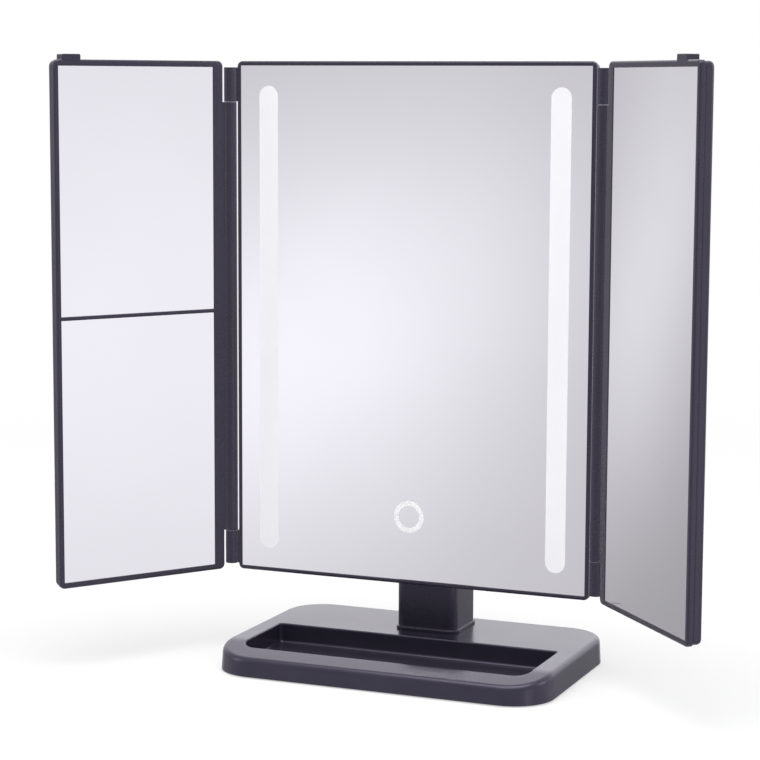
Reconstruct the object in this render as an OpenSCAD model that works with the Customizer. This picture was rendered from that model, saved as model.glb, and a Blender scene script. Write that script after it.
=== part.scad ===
// Trifold vanity mirror: a lit centre mirror between two folding wings, tilting on a column
// that stands in a weighted base with a tray. Sizes are in millimetres.
// X runs left to right, Y front to back and Z up. The origin is the middle of the base's
// underside, on the table. The wings are drawn part folded, as they stand in use.

/* [Base] */
// Width of the base at the table
base_w = 188; // [180:1:210]
// Depth of the base at the table
base_d = 124; // [118:1:140]
// Height of the base moulding, without its feet
base_h = 14; // [13:0.5:18]
// Plan radius of the base corners
base_corner = 23; // [20:1:26]
// Rounding along the top edge of the base
base_edge = 4; // [2:0.5:5]
// Lean of the base walls
base_draft = 3.5; // [0:0.5:5]
// Height of the feet below the moulding
foot_h = 0.7; // [0.5:0.1:1.5]
// Width of the tray
tray_w = 163; // [140:1:163]
// Front edge of the tray
tray_front = -52; // [-52:1:-44]
// Back edge of the tray
tray_back = 4.5; // [0:0.5:6]
// Depth of the tray
tray_deep = 10.7; // [8:0.1:11]
// Plan radius of the tray's front corners
tray_corner = 9; // [5:0.5:12]

/* [Column] */
// Width of the column
column_w = 35; // [32:1:38]
// Depth of the column
column_d = 33.5; // [30:0.5:34]
// Distance of the column behind the middle of the base
column_y = 35.3; // [35:0.1:38]
// Rounding of the column's upright corners
column_corner = 5; // [3:0.5:7]
// Height of the tilt axis over the table
pivot_z = 112; // [110:1:120]
// Radius of the tilt bolt
bolt_r = 3; // [2.5:0.25:4]

/* [Mirror panels] */
// Height of all three panels
panel_h = 280; // [270:1:290]
// Height of the panels' lower edge over the table
panel_lift = 46.4; // [44:0.1:50]
// Distance of the centre panel's face from the middle of the base
face_y = -7.4; // [-10:0.1:-7.4]
// Width of the centre panel
centre_w = 203.4; // [200:0.1:206]
// Width of a wing panel
wing_w = 99.2; // [96:0.1:99.2]
// Thickness of a panel's front frame
frame_t = 3.2; // [3:0.1:3.6]
// Thickness of a panel's back cover
cover_t = 5.4; // [5:0.1:6.5]
// Visible frame round the centre glass
centre_rim = 2.25; // [2:0.05:3]
// Visible frame along a wing's hinge side
wing_rim_hinge = 4.7; // [4:0.1:6]
// Visible frame along a wing's free side
wing_rim_free = 2.4; // [2:0.1:3]
// Visible frame along a wing's top and bottom
wing_rim_end = 3.2; // [2.5:0.1:4]
// Width of the bar between the two left mirrors
divider_w = 2; // [1.5:0.1:4]
// Height of that bar's middle over the panels' lower edge
divider_y = 144.6; // [130:0.1:150]
// Thickness of the mirror glass
glass_t = 2; // [1.5:0.1:2.2]
// Rounding of the panel corners, seen from the front
frame_corner = 3; // [2:0.5:4]
// Rounding along the front edge of the frames
frame_edge = 1.2; // [0.6:0.1:1.6]

/* [Hinges] */
// Fold of the left wing, forward from flat
left_fold = 56.2; // [0:0.1:180]
// Fold of the right wing, forward from flat
right_fold = 48.2; // [0:0.1:180]
// Distance of a hinge axis from the middle
hinge_x = 105.5; // [105.5:0.1:108]
// Radius of the hinge barrels
barrel_r = 3.45; // [3:0.05:3.45]
// Length of the knuckle at each end of a hinge
end_knuckle = 18.3; // [14:0.1:30]
// Height of a finger tab over the wing
tab_h = 2.8; // [2:0.1:5]
// Width of a finger tab
tab_w = 10.5; // [8:0.5:14]
// Distance of the left finger tab from the wing's hinge side
left_tab = 83.9; // [70:0.1:84]
// Distance of the right finger tab from the wing's hinge side
right_tab = 75.3; // [70:0.1:84]

/* [Lights and touch ring] */
// Distance of the light windows from the middle
window_x = 82.9; // [78:0.1:84]
// Width of a light window
window_w = 11; // [8:0.5:14]
// Length of a light window
window_h = 253.5; // [220:0.5:256]
// Height of the touch ring's middle over the panel's lower edge
ring_y = 36.9; // [30:0.1:50]
// Outer diameter of the touch ring
ring_d = 17.3; // [12:0.1:20]
// Width of the touch ring's line
ring_line = 2.7; // [1:0.1:3]
// Number of lamps on each light board
led_count = 24; // [12:1:30]

/* [Back housing] */
// Width of the raised back housing
housing_w = 150; // [140:1:150]
// Lower edge of the housing over the panel's lower edge
housing_from = 49.6; // [49.6:0.1:56]
// Height of the housing
housing_h = 204; // [196:1:210]
// Thickness of the whole head at the housing
housing_t = 21.9; // [21.9:0.1:22.5]
// Width of the battery door
door_w = 68; // [66:1:74]
// Height of the battery door
door_h = 66.6; // [64:0.1:70]
// Travel of the power switch
switch_travel = 3; // [2:0.5:3]

/* [Colours] */
// Dark plastic of the frames, covers, column and base
plastic = "#46434c";
// Darker plastic of the pieces that move or plug in
dark_plastic = "#2e2c33";
// Silvered glass
silver = "#d8dade";
// Frosted light windows and touch ring
frosted = "#f4f3f5";
// Screws, pins and springs
steel = "#a9abb0";
// Rubber of the feet
rubber = "#1c1b1e";
// Circuit boards
board = "#2f5d43";

/* [Hidden] */
$fn = 64;

gap = 0.3;                        // between pieces that move past one another
slack = 0.15;                     // round a piece that is laid into its place
seat_gap = 0.1;                   // between a piece and the face that it stands on
running = 0.05;                   // radial clearance of a shaft that turns
over = 1;                         // how far a cut runs past the face it opens
wall = 2;                         // inner walls of the base
bore_spare = 0.5;                 // how much deeper a hole is than its screw

base_top = foot_h + base_h;
base_wall = 2.6;
base_cavity_h = base_h - 2.2;
base_cover_t = 1.6;
tray_floor = base_top - tray_deep;
tray_back_corner = 1.5;
base_boss_r = 3;
base_screw_at = [[-87.4, -24], [87.4, -24], [-85, 42], [85, 42], [0, 56]];
foot_r = 6;
foot_sunk = 0.9;
foot_at = [[-78, -46], [78, -46], [-72, 49], [72, 49], [0, 0]];
ballast = [54, 42, 8];
ballast_at = [50, 31];
cover_top = foot_h + base_cover_t;
inner_foot = cover_top + seat_gap;   // of what stands on the cover plate
base_screw_len = 7;
screw_r = 1.1;
screw_head_r = 2.2;
screw_head_h = 1.1;

tenon_w = column_w - 5;
tenon_d = column_d - 5;
collar_out = 1;
collar_h = 1.5;
column_wall = 2.6;
column_solid_from = pivot_z - 18;
column_screw_x = 8;
column_screw_r = 1.8;
column_screw_head = [3.5, 1.4];
column_screw_len = 6.5;
washer_r = 9.8;
washer_t = 1.3;
washer_sunk = 1;
ear_in = column_w / 2 + washer_t - washer_sunk + seat_gap;
ear_t = 6;
ear_out = ear_in + ear_t;
ear_r = 14;
ear_root = 38;
bolt_head_r = 5.2;
bolt_head_h = 2.5;
bolt_end = 0.6;                   // how far the bolt stops short of the ear's outer face
bore_face_r = 6.2;
bore_face_deep = 3.2;
nut_flats = 10;
cap_r = 7.6;
cap_t = 1.4;
cap_edge = 0.9;
cap_plug = 0.5;

panel_t = frame_t + cover_t;
glass_sunk = 0.5;
pocket_t = glass_sunk + glass_t;
centre_ledge = 5;
wing_ledge = 3;
groove_t = 0.4;
groove_in = 1.4;
cover_in = 0.5;
cover_edge = 2.2;
cover_wall = 1.8;
side_wall = 1.2;                  // of a cover, behind its groove
centre_boss_r = 2.6;
head_screw_len = 4.2;
centre_screw_x = centre_w / 2 - 5.4;
centre_screw_y = [13.6, panel_h / 2, panel_h - 13.6];
centre_glass = [centre_w - 2 * centre_rim, panel_h - 2 * centre_rim];

axis_lead = 0.3;                  // how far the hinge axes stand before the panel faces
wing_gap = 5.7;                   // from a hinge axis to its wing's edge
barrel_from = 3.4;                // from the panels' lower edge to the barrels
knuckle_gap = 0.4;
stop_from = 2.2;                  // the stop rail behind the long knuckle
stop_t = 2.2;
stop_reach = 3.5;
pin_r = 1;
pin_len = 29;
pin_sunk = 1;
long_from = barrel_from + end_knuckle + knuckle_gap;
long_to = panel_h - long_from;
tab_d = 6.5;
tab_round = 0.8;

inlay_t = 0.3;
guide_t = 1.4;
guide_rim = 0.5;                  // of the guide, beyond its window
led_board_in = 1;                 // from the window's sides to the lamps' board
board_t = 1;
led = [3.2, 2.8, 0.9];
touch_plate = [34, 26];
touch_disc_t = 0.5;
chip = 5;
chip_t = 1;
chip_x = 8;

housing_corner = 12;
housing_edge = 3;
housing_inner_edge = 0.8;
housing_wall = 2;
housing_mid = housing_from + housing_h / 2;
housing_top = housing_from + housing_h;
door_t = 1.6;
door_seat_t = 1.8;
door_seat_rim = 2;                // of the seat, beyond the tongues and the door's foot
grip = [22, 1.2, 0.5];            // grooves for the thumb
grip_pitch = 2.6;
grip_from = 22;                   // lowest groove, under the housing's top
tongue_t = 0.8;
tongue_out = 1.5;
door_from = housing_top - door_h;
cell_r = 7.1;
cell_len = 49;
cell_pitch = 14.9;
cell_nub = [2.6, 1.3];
bay = [4 * cell_pitch + 2 * gap, 57];
bay_from = door_from + 3;
bay_front = pocket_t + 1.6;
bay_wall = 1.6;
bay_floor_t = 1.4;
cell_depth = bay_front + gap + cell_r;
contact_t = 0.4;
contact_w = 10;
contact_h = 2.9;
contact_tip = 0.6;
contact_d = 6;

power_x = -52;
socket_y = 66;
switch_y = 88;
power_y = (socket_y + switch_y) / 2;
power_post_y = 18;
power_post_r = 2.2;
window_cut = 3;                   // depth of the openings for the socket and the switch
socket = [9, 3.3];
socket_corner = 1.4;
socket_skin = 0.35;
socket_in = 0.4;                  // of its mouth, under the housing's back
socket_tongue = [6.4, 0.7];
power_plate = [26, 44, 1.2];
power_plate_back = 14.6;
switch_body = [10, 5, 3.8];
switch_knob = [3.4, 2.8];
switch_proud = 1;
switch_groove = [0.4, 0.3];

// ---------- shapes that several pieces share ----------

// Half outline of a plate's edge: upright or leaning wall with a round top corner
module edge_profile(reach, t, r, draft = 0) {
    mid = reach - (t - r) * tan(draft) - r / cos(draft);
    translate([mid, t - r]) circle(r = r);
    polygon([[0, 0], [reach, 0], [mid + r * cos(draft), t - r + r * sin(draft)],
             [mid, t - r], [mid, t], [0, t]]);
}

module full_profile(reach, t, r, draft) {
    edge_profile(reach, t, r, draft);
    mirror([1, 0]) edge_profile(reach, t, r, draft);
}

// A plate standing on z = 0 with round upright corners and a round upper edge
module rounded_plate(w, d, t, corner, r, draft = 0) {
    rotate([90, 0, 0]) linear_extrude(d - 2 * corner, center = true) full_profile(w / 2, t, r, draft);
    rotate([90, 0, 90]) linear_extrude(w - 2 * corner, center = true) full_profile(d / 2, t, r, draft);
    for (x = [-1, 1], y = [-1, 1])
        translate([x * (w / 2 - corner), y * (d / 2 - corner)])
            rotate_extrude() edge_profile(corner, t, r, draft);
}

// Flat outline of a rectangle with round corners, centred
module rounded_outline(w, d, r) {
    square([w - 2 * r, d], center = true);
    square([w, d - 2 * r], center = true);
    for (x = [-1, 1], y = [-1, 1])
        translate([x * (w / 2 - r), y * (d / 2 - r)]) circle(r = r);
}

// A box centred across, standing on its lower edge and running back from a face
module slab_back(w, h, t) {
    translate([-w / 2, 0, -t]) cube([w, h, t]);
}

// Cross recess of a screw, cut into a head whose face is z = 0
module cross_recess(r, deep) {
    for (a = [0, 90])
        rotate(a) translate([-r * 0.65, -r * 0.14, -deep]) cube([r * 1.3, r * 0.28, deep + over]);
}

// A screw with its head's face on z = 0, pointing down
module screw(head_r, head_h, r, len) {
    difference() {
        union() {
            translate([0, 0, -head_h]) cylinder(r = head_r, h = head_h);
            translate([0, 0, -head_h - len]) cylinder(r = r, h = len + head_h / 2);
        }
        cross_recess(head_r, head_h * 0.6);
    }
}

// Panel space: x across, y up from the panel's lower edge, z forward from its face
module on_head() {
    translate([0, face_y, panel_lift]) rotate([90, 0, 0]) children();
}

// Wing space: the same, with its origin on the hinge axis and x out along the wing
module on_right_wing(fold = right_fold) {
    translate([hinge_x, face_y - axis_lead, panel_lift])
        rotate([0, 0, -fold]) rotate([90, 0, 0]) children();
}

module on_left_wing() {
    mirror([1, 0, 0]) on_right_wing(left_fold) children();
}

// A bar along panel y with its middle at x, z
module upright_rod(x, z, r, from, to) {
    translate([x, from, z]) rotate([-90, 0, 0]) cylinder(r = r, h = to - from);
}

// A post that runs back from depth a to depth b
module post(x, y, r, a, b) {
    translate([x, y, -b]) cylinder(r = r, h = b - a);
}

// ---------- base ----------

module tray_outline(grow) {
    x = tray_w / 2 + grow;
    front = tray_front - grow;
    back = tray_back + grow;
    rf = tray_corner + grow;
    rb = tray_back_corner + grow;
    translate([-x, front + rf]) square([2 * x, back - front - rf - rb]);
    translate([-x + rf, front]) square([2 * (x - rf), rf]);
    translate([-x + rb, back - rb]) square([2 * (x - rb), rb]);
    for (s = [-1, 1]) {
        translate([s * (x - rf), front + rf]) circle(r = rf);
        translate([s * (x - rb), back - rb]) circle(r = rb);
    }
}

module base_shell() color(plastic) {
    roof = foot_h + base_cavity_h;
    difference() {
        union() {
            difference() {
                translate([0, 0, foot_h])
                    rounded_plate(base_w, base_d, base_h, base_corner, base_edge, base_draft);
                translate([0, 0, foot_h - over])
                    rounded_plate(base_w - 2 * base_wall, base_d - 2 * base_wall,
                                  base_cavity_h + over, base_corner - base_wall, wall, base_draft);
            }
            translate([0, 0, inner_foot]) linear_extrude(roof + over - inner_foot) tray_outline(wall);
            translate([0, column_y, inner_foot]) linear_extrude(roof + over - inner_foot)
                rounded_outline(tenon_w + 2 * wall, tenon_d + 2 * wall, column_corner);
            for (p = base_screw_at) translate([p.x, p.y, inner_foot])
                cylinder(r = base_boss_r, h = roof + over - inner_foot);
        }
        translate([0, 0, tray_floor]) linear_extrude(tray_deep + over) tray_outline(0);
        translate([0, column_y, foot_h]) linear_extrude(base_h + over)
            rounded_outline(tenon_w + slack, tenon_d + slack, column_corner - wall);
        for (p = base_screw_at) translate([p.x, p.y, inner_foot - over])
            cylinder(r = screw_r, h = over + base_screw_len + bore_spare);
    }
}

module base_cover() color(dark_plastic) {
    in = base_wall + base_cover_t * tan(base_draft) + slack;
    difference() {
        translate([0, 0, foot_h]) linear_extrude(base_cover_t)
            rounded_outline(base_w - 2 * in, base_d - 2 * in, base_corner - in);
        for (p = foot_at) translate([p.x, p.y, foot_h - over]) cylinder(r = foot_r, h = foot_sunk + over);
        for (p = base_screw_at) translate([p.x, p.y, 0]) {
            cylinder(r = screw_r + slack, h = base_h);
            cylinder(r = screw_head_r + slack, h = foot_h + screw_head_h);
        }
        for (s = [-1, 1]) translate([s * column_screw_x, column_y, 0])
            cylinder(r = column_screw_head[0] + slack, h = base_h);
    }
}

module base_ballast() color(steel) {
    for (s = [-1, 1])
        translate([s * ballast_at.x - ballast.x / 2, ballast_at.y - ballast.y / 2, cover_top])
            cube(ballast);
}

module base_feet() color(rubber) {
    for (p = foot_at) translate([p.x, p.y, 0]) cylinder(r = foot_r, h = foot_h + foot_sunk);
}

module base_screws() color(steel) {
    for (p = base_screw_at) translate([p.x, p.y, foot_h])
        rotate([180, 0, 0]) screw(screw_head_r, screw_head_h, screw_r, base_screw_len);
}

// ---------- column and tilt joint ----------

module column() color(plastic) {
    difference() {
        union() {
            intersection() {
                translate([0, column_y, base_top])
                    linear_extrude(pivot_z + column_d - base_top)
                        rounded_outline(column_w, column_d, column_corner);
                rotate([90, 0, 90]) linear_extrude(column_w + 2, center = true) {
                    translate([column_y - column_d / 2, 0]) square([column_d, pivot_z]);
                    translate([column_y, pivot_z]) circle(r = column_d / 2);
                }
            }
            translate([0, column_y, base_top]) linear_extrude(collar_h)
                rounded_outline(column_w + 2 * collar_out, column_d + 2 * collar_out,
                                column_corner + collar_out);
            translate([0, column_y, inner_foot]) linear_extrude(base_top + over - inner_foot)
                rounded_outline(tenon_w, tenon_d, column_corner - wall);
        }
        translate([0, column_y, base_top + collar_h])
            linear_extrude(column_solid_from - base_top - collar_h)
                rounded_outline(column_w - 2 * column_wall, column_d - 2 * column_wall,
                                column_corner - column_wall);
        for (s = [-1, 1]) translate([s * column_screw_x, column_y, inner_foot - over])
            cylinder(r = column_screw_r, h = over + column_screw_len + bore_spare);
        translate([-column_w, column_y, pivot_z]) rotate([0, 90, 0])
            cylinder(r = bolt_r + running, h = 2 * column_w);
        for (s = [-1, 1]) translate([s * column_w / 2, column_y, pivot_z]) rotate([0, 90, 0])
            cylinder(r = washer_r + slack, h = 2 * washer_sunk, center = true);
    }
}

module column_screws() color(steel) {
    for (s = [-1, 1]) translate([s * column_screw_x, column_y, inner_foot - column_screw_head[1]])
        rotate([180, 0, 0])
            screw(column_screw_head[0], column_screw_head[1], column_screw_r, column_screw_len);
}

// Sprung washers that clamp the ears and hold the tilt where it is left
module pivot_washers() color(steel) {
    for (s = [-1, 1])
        translate([s * (column_w / 2 - washer_sunk + washer_t / 2), column_y, pivot_z])
            rotate([0, 90, 0]) difference() {
                cylinder(r = washer_r, h = washer_t, center = true);
                cylinder(r = bolt_r + running, h = 2 * washer_t, center = true);
            }
}

module pivot_bolt() color(steel) {
    translate([0, column_y, pivot_z]) rotate([0, 90, 0]) {
        translate([0, 0, -ear_out + bore_face_deep])
            cylinder(r = bolt_r, h = 2 * ear_out - bore_face_deep - bolt_end);
        translate([0, 0, -ear_out + bore_face_deep - bolt_head_h])
            difference() {
                cylinder(r = bolt_head_r, h = bolt_head_h);
                rotate([180, 0, 0]) cross_recess(bolt_head_r, bolt_head_h / 2);
            }
    }
}

module pivot_nut() color(steel) {
    translate([ear_out - bore_face_deep, column_y, pivot_z]) rotate([0, 90, 0]) difference() {
        cylinder(d = nut_flats / cos(30), h = bolt_head_h, $fn = 6);
        translate([0, 0, -over]) cylinder(r = bolt_r, h = bolt_head_h + 2 * over);
    }
}

module pivot_caps() color(dark_plastic) {
    for (s = [-1, 1]) translate([s * ear_out, column_y, pivot_z]) rotate([0, s * 90, 0]) {
        rotate_extrude() edge_profile(cap_r, cap_t, cap_edge);
        translate([0, 0, -cap_plug]) cylinder(r = bore_face_r, h = cap_plug + cap_t / 2);
    }
}

// ---------- centre panel ----------

// Front frame of a panel: a thin rim round the glass and a ledge behind it
module panel_rim(w) {
    translate([0, panel_h / 2, -frame_t])
        rounded_plate(w, panel_h, frame_t, frame_corner, frame_edge);
}

// Rounded back cover of a panel, solid, with a shadow groove next to the frame
module cover_body(w) {
    inner = frame_t + groove_t;
    translate([0, panel_h / 2, -frame_t]) rotate([180, 0, 0])
        linear_extrude(groove_t + over)
            rounded_outline(w - 2 * groove_in, panel_h - 2 * groove_in, frame_corner - cover_in);
    translate([0, panel_h / 2, -inner]) rotate([180, 0, 0])
        rounded_plate(w - 2 * cover_in, panel_h - 2 * cover_in, panel_t - inner,
                      frame_corner, cover_edge);
}

module cover_cavity(w) {
    in = groove_in + side_wall;
    translate([0, in, -frame_t + over])
        slab_back(w - 2 * in, panel_h - 2 * in, cover_t - cover_wall + over);
}

module head_frame() color(plastic) on_head() {
    open_w = centre_glass.x - 2 * centre_ledge;
    open_h = centre_glass.y - 2 * centre_ledge;
    difference() {
        union() {
            panel_rim(centre_w);
            for (x = [-1, 1], y = centre_screw_y)
                post(x * centre_screw_x, y, centre_boss_r, pocket_t, panel_t - cover_wall);
            for (s = [-1, 1], from = [barrel_from, long_to + knuckle_gap]) {
                upright_rod(s * hinge_x, axis_lead, barrel_r, from, from + end_knuckle);
                translate([s * (centre_w / 2 + hinge_x) / 2, from, 0])
                    slab_back(hinge_x - centre_w / 2 + 2 * over, end_knuckle, frame_t);
            }
        }
        translate([0, centre_rim, over]) slab_back(centre_glass.x, centre_glass.y, pocket_t + over);
        translate([0, centre_rim + centre_ledge, over]) slab_back(open_w, open_h, frame_t + 2 * over);
        for (x = [-1, 1], y = centre_screw_y)
            post(x * centre_screw_x, y, screw_r, pocket_t + bore_spare, panel_t);
        for (s = [-1, 1])
            upright_rod(s * hinge_x, axis_lead, pin_r + running, 0, panel_h);
    }
}

module housing_body(t, in) {
    deep = panel_t - cover_wall;
    translate([0, housing_mid, -deep]) rotate([180, 0, 0])
        rounded_plate(housing_w - 2 * in, housing_h - 2 * in, t - deep,
                      housing_corner - in, max(housing_edge - in, housing_inner_edge));
}

// Cheek that carries one end of the tilt bolt, drawn in its own plane (y, z of the model)
module ear_outline() {
    back = face_y + housing_t;
    c = [column_y, pivot_z];
    top = [back - over, pivot_z + ear_root];
    reach = norm(top - c);
    a = atan2(top.y - c.y, top.x - c.x) - acos(ear_r / reach);
    translate(c) circle(r = ear_r);
    polygon([[back - over, c.y - ear_r], [c.x, c.y - ear_r], c,
             c + ear_r * [cos(a), sin(a)], top]);
}

// Opening through the housing's back
module back_window(x, y, w, h) {
    translate([x, y - h / 2, -housing_t + window_cut]) slab_back(w, h, window_cut + over);
}

module head_rear_shell() color(plastic) difference() {
    union() {
        on_head() {
            difference() {
                union() {
                    cover_body(centre_w);
                    housing_body(housing_t, 0);
                }
                cover_cavity(centre_w);
                translate([0, 0, over]) housing_body(housing_t - housing_wall + over, housing_wall);
            }
            // battery bay, and the thicker seat that the door slides on
            translate([0, bay_from - bay_wall, -bay_front + bay_floor_t])
                slab_back(bay.x + 2 * bay_wall, bay.y + 2 * bay_wall, housing_t - bay_front - door_t);
            translate([0, door_from - door_seat_rim, -(housing_t - door_t - door_seat_t)])
                slab_back(door_w + 2 * (tongue_out + door_seat_rim), door_h - door_seat_rim, door_seat_t);
            for (y = [-1, 1])
                post(power_x, power_y + y * power_post_y, power_post_r, power_plate_back, housing_t - over);
        }
        for (s = [-1, 1]) translate([s > 0 ? ear_in : -ear_out, 0, 0])
            rotate([90, 0, 90]) linear_extrude(ear_t) ear_outline();
    }
    on_head() {
        translate([0, bay_from, -bay_front]) slab_back(bay.x, bay.y, housing_t);
        translate([0, door_from - gap, -(housing_t - door_t - seat_gap)])
            slab_back(door_w + 2 * gap, door_h + 4 * over, door_t + over);
        translate([0, door_from - gap, -(housing_t - door_t - seat_gap)])
            slab_back(door_w + 2 * (tongue_out + gap), door_h + 4 * over, tongue_t + gap);
        back_window(power_x, socket_y, socket[0] + 2 * slack, socket[1] + 2 * slack);
        back_window(power_x + switch_travel / 2, switch_y, switch_knob[0] + switch_travel + 2 * gap,
                    switch_knob[1] + 2 * gap);
        for (x = [-1, 1], y = centre_screw_y) {
            post(x * centre_screw_x, y, screw_r + slack, panel_t - 2 * cover_wall, panel_t + over);
            post(x * centre_screw_x, y, screw_head_r + slack, panel_t - screw_head_h, panel_t + over);
        }
    }
    translate([-ear_out - over, column_y, pivot_z]) rotate([0, 90, 0])
        cylinder(r = bolt_r, h = 2 * (ear_out + over));
    for (s = [-1, 1]) translate([s * ear_out, column_y, pivot_z]) rotate([0, 90, 0])
        cylinder(r = bore_face_r, h = 2 * bore_face_deep, center = true);
}

module window_outline() {
    square([window_w, window_h - window_w], center = true);
    for (y = [-1, 1]) translate([0, y * (window_h - window_w) / 2]) circle(d = window_w);
}

module window_at(x, t) {
    translate([x, panel_h / 2, -glass_sunk - t]) linear_extrude(t) window_outline();
}

module ring_inlay(t) {
    translate([0, ring_y, -glass_sunk - t]) difference() {
        cylinder(d = ring_d, h = t);
        translate([0, 0, -over]) cylinder(d = ring_d - 2 * ring_line, h = t + 2 * over);
    }
}

module head_mirror() color(silver) on_head() difference() {
    translate([0, centre_rim + slack, -glass_sunk])
        slab_back(centre_glass.x - 2 * slack, centre_glass.y - 2 * slack, glass_t);
    for (s = [-1, 1]) translate([0, 0, over]) window_at(s * window_x, inlay_t + over);
    translate([0, 0, over]) ring_inlay(inlay_t + over);
}

module light_window_left() color(frosted) on_head() window_at(-window_x, inlay_t);
module light_window_right() color(frosted) on_head() window_at(window_x, inlay_t);
module touch_ring() color(frosted) on_head() ring_inlay(inlay_t);

// Clear bar that spreads the lamps' light behind a window
module light_guide(x) {
    on_head() translate([x, panel_h / 2 - window_h / 2 - guide_rim, -pocket_t])
        slab_back(window_w + 2 * guide_rim, window_h + 2 * guide_rim, guide_t);
}

module light_guide_left() color(frosted) light_guide(-window_x);
module light_guide_right() color(frosted) light_guide(window_x);

module led_board(x) {
    back = panel_t - cover_wall;
    step = window_h / led_count;
    on_head() translate([x, 0, 0]) {
        color(board) translate([0, panel_h / 2 - window_h / 2, -back + board_t])
            slab_back(window_w - 2 * led_board_in, window_h, board_t);
        color(frosted) for (i = [0 : led_count - 1])
            translate([0, panel_h / 2 - window_h / 2 + (i + 0.5) * step - led.y / 2,
                       -back + board_t + led.z])
                slab_back(led.x, led.y, led.z);
    }
}

module led_board_left() led_board(-window_x);
module led_board_right() led_board(window_x);

// Touch board: a sensing disc pressed to the back of the glass, on a board with its chip
module touch_board() on_head() {
    plate_from = pocket_t + touch_disc_t;
    color(steel) post(0, ring_y, ring_d / 2, pocket_t, plate_from);
    color(board) translate([0, ring_y - touch_plate.y / 2, -plate_from])
        slab_back(touch_plate.x, touch_plate.y, board_t);
    color(dark_plastic) translate([chip_x, ring_y - chip / 2, -plate_from - board_t])
        slab_back(chip, chip, chip_t);
}

module power_board() on_head() {
    front = power_plate_back - power_plate.z;
    color(board) translate([power_x, power_y - power_plate.y / 2, -front])
        slab_back(power_plate.x, power_plate.y, power_plate.z);
    color(dark_plastic) translate([power_x, switch_y - switch_body.y / 2, -power_plate_back])
        slab_back(switch_body.x, switch_body.y, switch_body.z);
}

module power_socket() color(steel) on_head() {
    mouth = housing_t - socket_in;
    from = power_plate_back;
    difference() {
        translate([power_x, socket_y, -mouth]) linear_extrude(mouth - from)
            rounded_outline(socket[0], socket[1], socket_corner);
        translate([power_x, socket_y, -mouth - over]) linear_extrude(mouth - from)
            rounded_outline(socket[0] - 2 * socket_skin, socket[1] - 2 * socket_skin,
                            socket_corner - socket_skin);
    }
    translate([power_x, socket_y - socket_tongue[1] / 2, -from])
        slab_back(socket_tongue[0], socket_tongue[1], mouth - from - over);
}

module power_switch() color(dark_plastic) on_head() {
    from = power_plate_back + switch_body.z + seat_gap;
    difference() {
        translate([power_x, switch_y - switch_knob[1] / 2, -from])
            slab_back(switch_knob[0], switch_knob[1], housing_t + switch_proud - from);
        for (i = [-1, 0, 1])
            translate([power_x + i, switch_y - switch_knob[1],
                       -housing_t - switch_proud + switch_groove[1]])
                slab_back(switch_groove[0], 2 * switch_knob[1], over);
    }
}

function cell_x(i) = (i - 1.5) * cell_pitch;

module battery_cells() color(dark_plastic) on_head() {
    foot = bay_from + (bay.y - cell_len - cell_nub[1]) / 2;
    for (i = [0 : 3]) {
        up = i % 2 == 0;
        from = foot + (up ? 0 : cell_nub[1]);
        upright_rod(cell_x(i), -cell_depth, cell_r, from, from + cell_len);
        upright_rod(cell_x(i), -cell_depth, cell_nub[0],
                    up ? from + cell_len - over : from - cell_nub[1],
                    up ? from + cell_len + cell_nub[1] : from + over);
    }
}

// Bent leaf contacts at both ends of each cell
module leaf_outline() {
    translate([-contact_w / 2, 0]) square([contact_w, contact_t]);
    polygon([[-contact_w / 2 + contact_t, 0], [contact_w / 2 - contact_t, 0],
             [contact_tip, contact_h], [-contact_tip, contact_h]]);
}

module battery_contacts() color(steel) on_head() {
    for (i = [0 : 3], end = [0, 1])
        translate([cell_x(i), end == 0 ? bay_from : bay_from + bay.y, -cell_depth - contact_d / 2])
            mirror([0, end, 0]) linear_extrude(contact_d) leaf_outline();
}

// Battery door: slides up along its tongues and off over the housing's top edge
module battery_door() color(dark_plastic) on_head() {
    inner = housing_t - door_t;
    difference() {
        intersection() {
            housing_body(housing_t, 0);
            translate([0, door_from, -inner]) slab_back(door_w, door_h + over, door_t + over);
        }
        for (i = [0 : 4])
            translate([0, housing_top - grip_from + i * grip_pitch, -housing_t + grip[2]])
                slab_back(grip[0], grip[1], over);
    }
    translate([0, door_from, -inner])
        slab_back(door_w + 2 * tongue_out, door_h - 2 * housing_edge, tongue_t);
}

module head_screws() color(steel) on_head() {
    for (x = [-1, 1], y = centre_screw_y)
        translate([x * centre_screw_x, y, -panel_t]) rotate([180, 0, 0])
            screw(screw_head_r, screw_head_h, screw_r, head_screw_len);
}

// ---------- wings ----------

wing_mid = wing_gap + wing_w / 2;
wing_glass_x = (wing_rim_hinge - wing_rim_free) / 2;
wing_glass_w = wing_w - wing_rim_hinge - wing_rim_free;
lower_glass = [wing_rim_end, divider_y - divider_w / 2];
upper_glass = [divider_y + divider_w / 2, panel_h - wing_rim_end];
whole_glass = [wing_rim_end, panel_h - wing_rim_end];

// Long knuckle: a barrel with a web to the frame and a rail that stops the wing when it is flat
module long_knuckle() {
    upright_rod(0, 0, barrel_r, long_from, long_to);
    translate([0, long_from, -axis_lead - frame_t])
        cube([wing_gap + over, long_to - long_from, frame_t]);
    translate([-stop_reach, long_from, -stop_from - stop_t])
        cube([stop_reach + wing_gap + over / 2, long_to - long_from, stop_t]);
}

module finger_tab(at) {
    translate([wing_gap + at, panel_h - over, -axis_lead - tab_d])
        linear_extrude(tab_d) {
            square([tab_w, tab_h + over - tab_round]);
            translate([tab_round, 0]) square([tab_w - 2 * tab_round, tab_h + over]);
            for (x = [tab_round, tab_w - tab_round])
                translate([x, tab_h + over - tab_round]) circle(r = tab_round);
        }
}

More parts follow.
